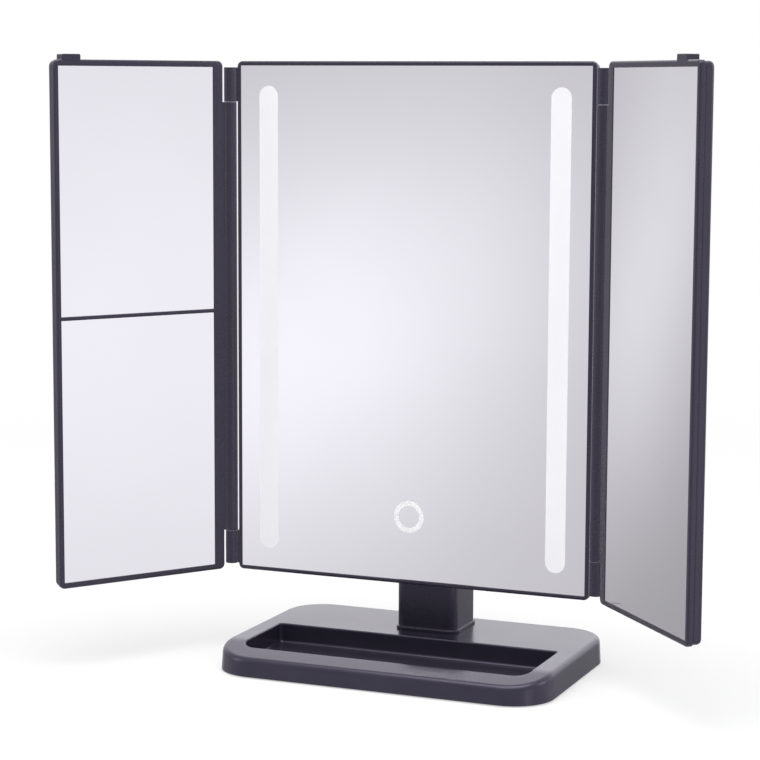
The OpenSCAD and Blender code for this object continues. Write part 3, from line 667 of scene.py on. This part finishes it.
class VANITY_OT_dress_metal(bpy.types.Operator):
    """Finish the screws, pins, washers, ballast and the power socket"""
    bl_idname = "vanity.dress_metal"
    bl_label = "Metal"

    def execute(self, context):
        look = context.scene.vanity_finish
        lines = bpy.data.node_groups["drawn_metal"]
        dress(STEEL_NODES, worked_steel(lines, "worked_steel", look.steel, 0.26, 0.2))
        dress(("power_socket",), worked_steel(lines, "nickel", look.nickel, 0.2, 0.1))
        return {"FINISHED"}


class VANITY_OT_dress_electrics(bpy.types.Operator):
    """Finish the circuit boards and the cells"""
    bl_idname = "vanity.dress_electrics"
    bl_label = "Boards and cells"

    def execute(self, context):
        look = context.scene.vanity_finish
        grain = bpy.data.node_groups["moulded_grain"]
        dress(BOARD_NODES, circuit_board(grain, look.board))
        low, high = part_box("battery_cells")
        sleeve = cell_sleeve(grain, look.sleeve, (0.52, 0.53, 0.55, 1.0),
                             high.z - 12 * MM, high.z - 4 * MM)
        dress(("battery_cells",), sleeve)
        return {"FINISHED"}


class VANITY_OT_rubber_feet(bpy.types.Operator):
    """Turn the five rubber feet, with rings in their undersides"""
    bl_idname = "vanity.rubber_feet"
    bl_label = "Rubber feet"

    def execute(self, context):
        look, detail = context.scene.vanity_finish, context.scene.vanity_detail
        grain = bpy.data.node_groups["moulded_grain"]
        low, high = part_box("base_feet")
        tall = high.z - low.z
        groove, edge = detail.groove, 0.35 * MM
        radius = 6 * MM
        profile = [(0.0, groove), (1.1 * MM, groove), (1.4 * MM, 0.0), (2.5 * MM, 0.0),
                   (2.8 * MM, groove), (3.7 * MM, groove), (4.0 * MM, 0.0),
                   (radius - edge, 0.0), (radius - edge / 3, edge / 3), (radius, edge),
                   (radius, tall), (0.0, tall)]
        bm = bmesh.new()
        for x, y in foot_places():
            lathe(bm, profile, (x, y, low.z), 48)
        piece = make_piece("rubber_feet", bm, foot_rubber(grain, look.rubber), "stand")
        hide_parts("base_feet")
        return {"FINISHED"}


def foot_places():
    """The middles of the feet, read from the CAD node's own vertices."""
    corners = [v.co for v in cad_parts["base_feet"].data.vertices]
    places = []
    for x, y in ((-1, -1), (1, -1), (-1, 1), (1, 1)):
        near = [c for c in corners if c.x * x > 20 * MM and c.y * y > 20 * MM]
        places.append(((min(c.x for c in near) + max(c.x for c in near)) / 2,
                       (min(c.y for c in near) + max(c.y for c in near)) / 2))
    return places + [(0.0, 0.0)]


class VANITY_OT_hinge_washers(bpy.types.Operator):
    """Set a thin dark washer on the pin between the knuckles of each hinge"""
    bl_idname = "vanity.hinge_washers"
    bl_label = "Hinge washers"

    def execute(self, context):
        look = context.scene.vanity_finish
        grain = bpy.data.node_groups["moulded_grain"]
        nylon = moulded_plastic("washer_nylon", grain, look.dark_plastic, look.gloss_tint,
                                look.dark_roughness, 0.3, 0.00001)
        inner, outer, half = 1.15 * MM, 3.3 * MM, 0.14 * MM
        profile = [(inner, -half), (outer, -half), (outer, half), (inner, half),
                   (inner, -half)]
        for side in ("left", "right"):
            bm = bmesh.new()
            for place in knuckle_gaps(side):
                lathe(bm, profile, place, 40)
            make_piece("hinge_washers_" + side, bm, nylon, "head")
        return {"FINISHED"}


def knuckle_gaps(side):
    """The middles of the gaps between a wing's long knuckle and the two end knuckles."""
    low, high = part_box(side + "_hinge_pins")
    x, y = (low.x + high.x) / 2, (low.y + high.y) / 2
    reach, ends, half_gap = 3.6 * MM, 8 * MM, 0.2 * MM
    long_knuckle = [v.co.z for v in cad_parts[side + "_wing_frame"].data.vertices
                    if math.hypot(v.co.x - x, v.co.y - y) < reach
                    and low.z + ends < v.co.z < high.z - ends]
    return ((x, y, min(long_knuckle) - half_gap), (x, y, max(long_knuckle) + half_gap))


class VANITY_OT_base_moulding(bpy.types.Operator):
    """Mould the base with a top that falls to a rounded nose, and a tray with soft edges"""
    bl_idname = "vanity.base_moulding"
    bl_label = "Base moulding"

    def execute(self, context):
        form = context.scene.vanity_form
        low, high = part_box("base_shell")
        draft, corner, wall = math.tan(math.radians(3.5)), 23 * MM, 2.6 * MM
        back_corner, plate_recess = 2 * MM, 2.9 * MM
        bend_cuts = 4
        shoulder = high.z - form.base_edge

        def outer(inset, z):
            return [(x, y, z) for x, y in
                    rounded_ring(high.x - inset, low.y + inset, high.y - inset,
                                 corner - inset, corner - inset)]

        def tray(grow, z):
            return [(x, y, z) for x, y in
                    rounded_ring(form.tray_half + grow, form.tray_front - grow,
                                 form.tray_back + grow, form.tray_corner + grow,
                                 back_corner + grow)]

        lean = (shoulder - low.z) * draft
        rings = [outer(wall, low.z + plate_recess), outer(wall, low.z), outer(0.0, low.z)]
        rings += [outer(lean + across, shoulder + up)
                  for across, up in quarter(form.base_edge)]
        rings += [tray(across, high.z - form.tray_lip + up)
                  for across, up in reversed(quarter(form.tray_lip, 4))]
        rings += [tray(-across, high.z - form.tray_deep + form.tray_fillet - up)
                  for across, up in quarter(form.tray_fillet, 4)]
        bm = bmesh.new()
        skin_rings(bm, rings)
        for i in range(-bend_cuts, bend_cuts + 1):
            y = form.fold + i * form.fold_soft / bend_cuts
            bmesh.ops.bisect_plane(bm, geom=bm.verts[:] + bm.edges[:] + bm.faces[:],
                                   plane_co=(0.0, y, 0.0), plane_no=(0.0, 1.0, 0.0))
        for point in bm.verts:
            if point.co.z > high.z - form.tray_deep / 2:
                point.co.z -= drop(form, point.co.y)
        piece = make_piece("base_moulding", bm, bpy.data.materials["grained_plastic"],
                           "stand")
        even_normals(piece)
        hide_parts("base_shell")
        return {"FINISHED"}


def drop(form, y):
    """How far the base's top has fallen at that y, with a soft bend where it starts."""
    slope, soft, past = math.tan(form.fall), form.fold_soft, form.fold - y
    if past >= soft:
        return slope * past
    return slope * max(0.0, past + soft) ** 2 / (4 * soft)


class VANITY_OT_wing_edges(bpy.types.Operator):
    """Carry the inner edge of each wing's frame up to the hinge barrels with a slim trim"""
    bl_idname = "vanity.wing_edges"
    bl_label = "Wing edges"

    def execute(self, context):
        form = context.scene.vanity_form
        bottom, top = (corner.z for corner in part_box("head_frame"))
        # Across the wing from its hinge axis, then back from it: a hair behind the frame's
        # own front, and short of its back
        near, far, corner = form.wing_edge, 8.7 * MM, 3 * MM
        lead, deep, edge = 0.33 * MM, 3.48 * MM, 1.2 * MM
        for side, sign, fold in WING_FOLDS:
            pins_low, pins_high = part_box(side + "_hinge_pins")
            turn = math.radians(fold)
            out = Vector((sign * math.cos(turn), -math.sin(turn), 0.0))
            back = Vector((sign * math.sin(turn), math.cos(turn), 0.0))
            axis = (pins_low + pins_high) / 2
            axis.z = 0.0

            def ring(inset, depth):
                plan = [(far, bottom + inset)]
                for z, start in ((bottom + corner, 270), (top - corner, 180)):
                    for turned in range(start, start - 91, -15):
                        t = math.radians(turned)
                        plan.append((near + corner + (corner - inset) * math.cos(t),
                                     z + (corner - inset) * math.sin(t)))
                plan.append((far, top - inset))
                return [axis + out * u + back * depth + Vector((0.0, 0.0, z))
                        for u, z in plan]

            rings = [ring(across, lead + edge - up)
                     for across, up in reversed(quarter(edge, 5))]
            rings.append(ring(0.0, deep))
            bm = bmesh.new()
            skin_rings(bm, rings)
            piece = make_piece("wing_edge_" + side, bm, bpy.data.materials["satin_plastic"],
                               side + "_wing")
            even_normals(piece)
        return {"FINISHED"}


class VANITY_OT_cell_contacts(bpy.types.Operator):
    """Make the contact plates and conical springs at the ends of the cells"""
    bl_idname = "vanity.cell_contacts"
    bl_label = "Cell contacts"

    def execute(self, context):
        look, detail = context.scene.vanity_finish, context.scene.vanity_detail
        lines = bpy.data.node_groups["drawn_metal"]
        cells_low, cells_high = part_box("battery_cells")
        bay_low, bay_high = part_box("battery_contacts")
        radius = (cells_high.y - cells_low.y) / 2
        pitch = (cells_high.x - cells_low.x - 2 * radius) / 3
        depth = (cells_low.y + cells_high.y) / 2
        plate = 0.4 * MM
        bm = bmesh.new()
        for i in range(4):
            x = cells_low.x + radius + i * pitch
            for end, z in ((1, bay_low.z), (-1, bay_high.z)):
                block(bm, (x - 5 * MM, depth - 3 * MM, min(z, z + end * plate)),
                      (x + 5 * MM, depth + 3 * MM, max(z, z + end * plate)), 0.08 * MM)
                nub_end = -1 if i % 2 == 0 else 1
                if end == nub_end:
                    dimple(bm, (x, depth, z + end * plate), end)
                else:
                    spring(bm, (x, depth, z + end * plate), end, detail)
        piece = make_piece("cell_contacts", bm,
                           worked_steel(lines, "contact_nickel", look.nickel, 0.18, 0.1),
                           "head")
        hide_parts("battery_contacts")
        return {"FINISHED"}


def dimple(bm, centre, end):
    """Raised round button in the middle of a plate."""
    profile = [(2.2 * MM, 0.0), (1.9 * MM, 0.7 * MM), (1.2 * MM, 1.2 * MM),
               (0.0, 1.35 * MM)]
    lathe(bm, [(r, end * z) for r, z in profile], centre, 24)


def spring(bm, centre, end, detail):
    """Round wire wound into a cone that stands on a plate."""
    wire_r = detail.wire_d / 2
    wide, narrow, tall = 3.2 * MM, 1.8 * MM, 2.5 * MM
    steps = 20 * detail.spring_turns
    ring = bmesh.ops.create_circle(
        bm, segments=8, radius=wire_r,
        matrix=Matrix.Translation((centre[0] + wide, centre[1], centre[2] + end * wire_r))
        @ Matrix.Rotation(math.radians(90.0), 4, "X"))["verts"]
    edges = list({e for v in ring for e in v.link_edges})
    known = set(bm.verts) - set(ring)
    bmesh.ops.spin(bm, geom=ring + edges, cent=centre, axis=(0.0, 0.0, 1.0),
                   angle=math.tau * detail.spring_turns, steps=steps,
                   dvec=(0.0, 0.0, end * (tall - detail.wire_d) / steps))
    for corner in set(bm.verts) - known:
        rise = min(1.0, abs(corner.co.z - centre[2]) / tall)
        share = 1.0 - rise * (1.0 - narrow / wide)
        corner.co.x = centre[0] + (corner.co.x - centre[0]) * share
        corner.co.y = centre[1] + (corner.co.y - centre[1]) * share
    bmesh.ops.holes_fill(bm, edges=[e for e in bm.edges if e.is_boundary], sides=8)


class VANITY_OT_lamp_lenses(bpy.types.Operator):
    """Set a low lens of resin on each lamp of the light boards"""
    bl_idname = "vanity.lamp_lenses"
    bl_label = "Lamp lenses"

    def execute(self, context):
        look, detail = context.scene.vanity_finish, context.scene.vanity_detail
        grain = bpy.data.node_groups["moulded_grain"]
        resin = lamp_resin(grain, look.resin)
        count = 24
        for side in ("left", "right"):
            low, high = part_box("led_board_" + side)
            step = (high.z - low.z) / count
            bm = bmesh.new()
            for i in range(count):
                place = (Matrix.Translation(((low.x + high.x) / 2, low.y,
                                             low.z + (i + 0.5) * step))
                         @ Matrix.Diagonal((1.15 * MM, detail.lens, 1.0 * MM, 1.0)))
                bmesh.ops.create_uvsphere(bm, u_segments=12, v_segments=8, radius=1.0,
                                          matrix=place)
            make_piece("lamp_lenses_" + side, bm, resin, "head")
        return {"FINISHED"}


class VANITY_OT_board_parts(bpy.types.Operator):
    """Set the coil, cans, chip and plugs on the power board"""
    bl_idname = "vanity.board_parts"
    bl_label = "Board parts"

    def execute(self, context):
        look = context.scene.vanity_finish
        grain = bpy.data.node_groups["moulded_grain"]
        lines = bpy.data.node_groups["drawn_metal"]
        low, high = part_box("power_board")
        face = low.y
        middle = ((low.x + high.x) / 2, (low.z + high.z) / 2)

        def at(x, z, rise):
            """A place in millimetres across, up and out from the board's middle."""
            return middle[0] + x * MM, face - rise * MM, middle[1] + z * MM

        bm = bmesh.new()
        drum(bm, at(-6.5, -13, 2.5), 2.4 * MM, 5 * MM, (0, 1, 0), 0.3 * MM)
        drum(bm, at(-6.5, -6.5, 2.5), 2.4 * MM, 5 * MM, (0, 1, 0), 0.3 * MM)
        make_piece("board_cans", bm, worked_steel(lines, "can_metal", look.steel, 0.22, 0.3),
                   "head")
        bm = bmesh.new()
        for low_end, high_end in ((at(2, -16, 3), at(8.5, -9.5, 0)),
                                  (at(-9, 4, 1.5), at(-4.5, 10, 0)),
                                  (at(2.5, -6.5, 1.2), at(7.5, -2.5, 0))):
            block(bm, low_end, high_end, 0.2 * MM)
        drum(bm, at(5.25, -12.75, 3.1), 2.3 * MM, 0.4 * MM, (0, 1, 0), 0.1 * MM)
        make_piece("board_blocks", bm,
                   moulded_plastic("board_blocks", grain, look.dark_plastic, WHITE, 0.45, 0.4,
                                   0.00002), "head")
        bm = bmesh.new()
        for x in (-7.5, 1.5):
            block(bm, at(x, 14, 4), at(x + 6, 19.5, 0), 0.25 * MM)
        make_piece("board_plugs", bm, etched_glass(grain, look.etched), "head")
        return {"FINISHED"}


class VANITY_OT_studio(bpy.types.Operator):
    """Lay the floor, hang the lights and set the camera"""
    bl_idname = "vanity.studio"
    bl_label = "Studio"

    def execute(self, context):
        stage = context.scene.vanity_stage
        lay_floor(stage)
        light_world(context.scene, stage)
        hang_lamps()
        set_camera(context.scene, stage)
        context.scene.view_settings.view_transform = "Standard"
        return {"FINISHED"}


def lay_floor(stage):
    """A pale floor that keeps the shadow near the object and turns white further out."""
    bm = bmesh.new()
    bmesh.ops.create_grid(bm, x_segments=2, y_segments=2, size=30.0)
    mesh = bpy.data.meshes.new("studio_floor")
    bm.to_mesh(mesh)
    bm.free()
    floor = bpy.data.objects.new("studio_floor", mesh)
    bpy.context.scene.collection.objects.link(floor)
    made, tree, shader, where = start_material("studio_floor")
    mottle = remap(tree, noise(tree, where, 3.0), 0.2, 0.8, 0.0, 1.0)
    vary_tone(tree, shader, mottle, stage.floor, toned(stage.floor, 0.99))
    shader.inputs["Roughness"].default_value = 0.9
    shader.inputs["Specular IOR Level"].default_value = 0.0
    glow = put(tree, "ShaderNodeEmission", {"Color": WHITE, "Strength": 1.0})
    path = put(tree, "ShaderNodeLightPath")
    reach = put(tree, "ShaderNodeVectorMath", operation="LENGTH")
    wire(tree, where, (reach, 0))
    near, far = 0.25, 1.2
    share = remap(tree, (reach, "Value"), near, far, 0.5, 1.0)
    share = maths(tree, "MULTIPLY", (path, "Is Camera Ray"), share)
    mixed = put(tree, "ShaderNodeMixShader")
    wire(tree, share, (mixed, 0))
    wire(tree, (shader, 0), (mixed, 1))
    wire(tree, (glow, 0), (mixed, 2))
    wire(tree, (mixed, 0), (tree.nodes["Material Output"], "Surface"))
    mesh.materials.append(made)
    floor.visible_glossy = False
    floor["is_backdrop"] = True


def light_world(scene, stage):
    """Even light, a white backdrop for the camera, and soft tones for the mirrors."""
    world = bpy.data.worlds.new("studio_world")
    scene.world = world
    world.use_nodes = True
    tree = world.node_tree
    even = tree.nodes["Background"]
    even.inputs["Color"].default_value = WHITE
    even.inputs["Strength"].default_value = stage.fill
    where = (put(tree, "ShaderNodeTexCoord"), "Generated")
    group = bpy.data.node_groups["softbox"]
    tone = STUDIO_TONE
    for strength, azimuth, elevation, half_width, half_height, tilt in SOFTBOXES:
        box = use_group(tree, group, where, azimuth=azimuth, elevation=elevation,
                        half_width=half_width, half_height=half_height, tilt=tilt)
        tone = maths(tree, "MULTIPLY_ADD", (box, "Glow"), strength, tone)
    mirrored = put(tree, "ShaderNodeBackground", {"Color": STUDIO_TINT})
    wire(tree, tone, (mirrored, "Strength"))
    seen = put(tree, "ShaderNodeBackground", {"Color": WHITE, "Strength": 1.0})
    path = put(tree, "ShaderNodeLightPath")
    first, second = put(tree, "ShaderNodeMixShader"), put(tree, "ShaderNodeMixShader")
    wire(tree, (path, "Is Glossy Ray"), (first, 0))
    wire(tree, (even, 0), (first, 1))
    wire(tree, (mirrored, 0), (first, 2))
    plain = maths(tree, "MAXIMUM", (path, "Is Camera Ray"), (path, "Is Transmission Ray"))
    wire(tree, plain, (second, 0))
    wire(tree, (first, 0), (second, 1))
    wire(tree, (seen, 0), (second, 2))
    wire(tree, (second, 0), (tree.nodes["World Output"], "Surface"))


def hang_lamps():
    """A broad overhead softbox and a tall one at each side."""
    aim = Vector((0.0, 0.0, 0.12))
    for name, place, width, height, power in LAMPS:
        data = bpy.data.lights.new(name, "AREA")
        data.shape = "RECTANGLE"
        data.size, data.size_y, data.energy = width, height, power
        lamp = bpy.data.objects.new(name, data)
        bpy.context.scene.collection.objects.link(lamp)
        lamp.location = place
        lamp.rotation_euler = (aim - Vector(place)).to_track_quat("-Z", "Y").to_euler()


def set_camera(scene, stage):
    """The camera that was solved on the photograph."""
    data = bpy.data.cameras.new("camera")
    data.lens, data.sensor_width = stage.lens, 36.0
    data.clip_start, data.clip_end = 0.05, 100.0
    camera = bpy.data.objects.new("camera", data)
    scene.collection.objects.link(camera)
    place, target = Vector(stage.camera), Vector(stage.target)
    turn = (target - place).to_track_quat("-Z", "Y").to_matrix().to_4x4()
    camera.matrix_world = (Matrix.Translation(place) @ turn
                           @ Matrix.Rotation(stage.roll, 4, "Z"))
    scene.camera = camera


class VANITY_PT_panel(bpy.types.Panel):
    """Lists the steps that dress the mirror"""
    bl_label = "Trifold Vanity Mirror"
    bl_idname = "VANITY_PT_panel"
    bl_space_type = "VIEW_3D"
    bl_region_type = "UI"
    bl_category = "Vanity"

    def draw(self, context):
        for step in STEPS:
            self.layout.operator(step.bl_idname)
        for group in ("vanity_finish", "vanity_detail", "vanity_form", "vanity_stage"):
            settings = getattr(context.scene, group)
            box = self.layout.box()
            for name in settings.__annotations__:
                box.prop(settings, name)


STEPS = (VANITY_OT_dress_plastic, VANITY_OT_dress_glass, VANITY_OT_dress_metal,
         VANITY_OT_dress_electrics, VANITY_OT_base_moulding, VANITY_OT_wing_edges,
         VANITY_OT_rubber_feet, VANITY_OT_hinge_washers, VANITY_OT_cell_contacts,
         VANITY_OT_lamp_lenses, VANITY_OT_board_parts, VANITY_OT_studio)
SETTINGS = (VanityFinish, VanityDetail, VanityForm, VanityStage)


def register():
    for made in SETTINGS + STEPS + (VANITY_PT_panel,):
        bpy.utils.register_class(made)
    bpy.types.Scene.vanity_finish = PointerProperty(type=VanityFinish)
    bpy.types.Scene.vanity_detail = PointerProperty(type=VanityDetail)
    bpy.types.Scene.vanity_form = PointerProperty(type=VanityForm)
    bpy.types.Scene.vanity_stage = PointerProperty(type=VanityStage)


def unregister():
    del bpy.types.Scene.vanity_stage
    del bpy.types.Scene.vanity_form
    del bpy.types.Scene.vanity_detail
    del bpy.types.Scene.vanity_finish
    for made in reversed(SETTINGS + STEPS + (VANITY_PT_panel,)):
        bpy.utils.unregister_class(made)


def clear_mirrors():
    """Leaves only the large plain pieces in what the mirrors show."""
    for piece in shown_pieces():
        piece.visible_glossy = piece.name in KEPT_IN_MIRRORS


def main():
    register()
    moulded_grain_group()
    drawn_metal_group()
    softbox_group()
    for step in STEPS:
        category, name = step.bl_idname.split(".")
        getattr(getattr(bpy.ops, category), name)()
    clear_mirrors()


if __name__ == "__main__":
    main()
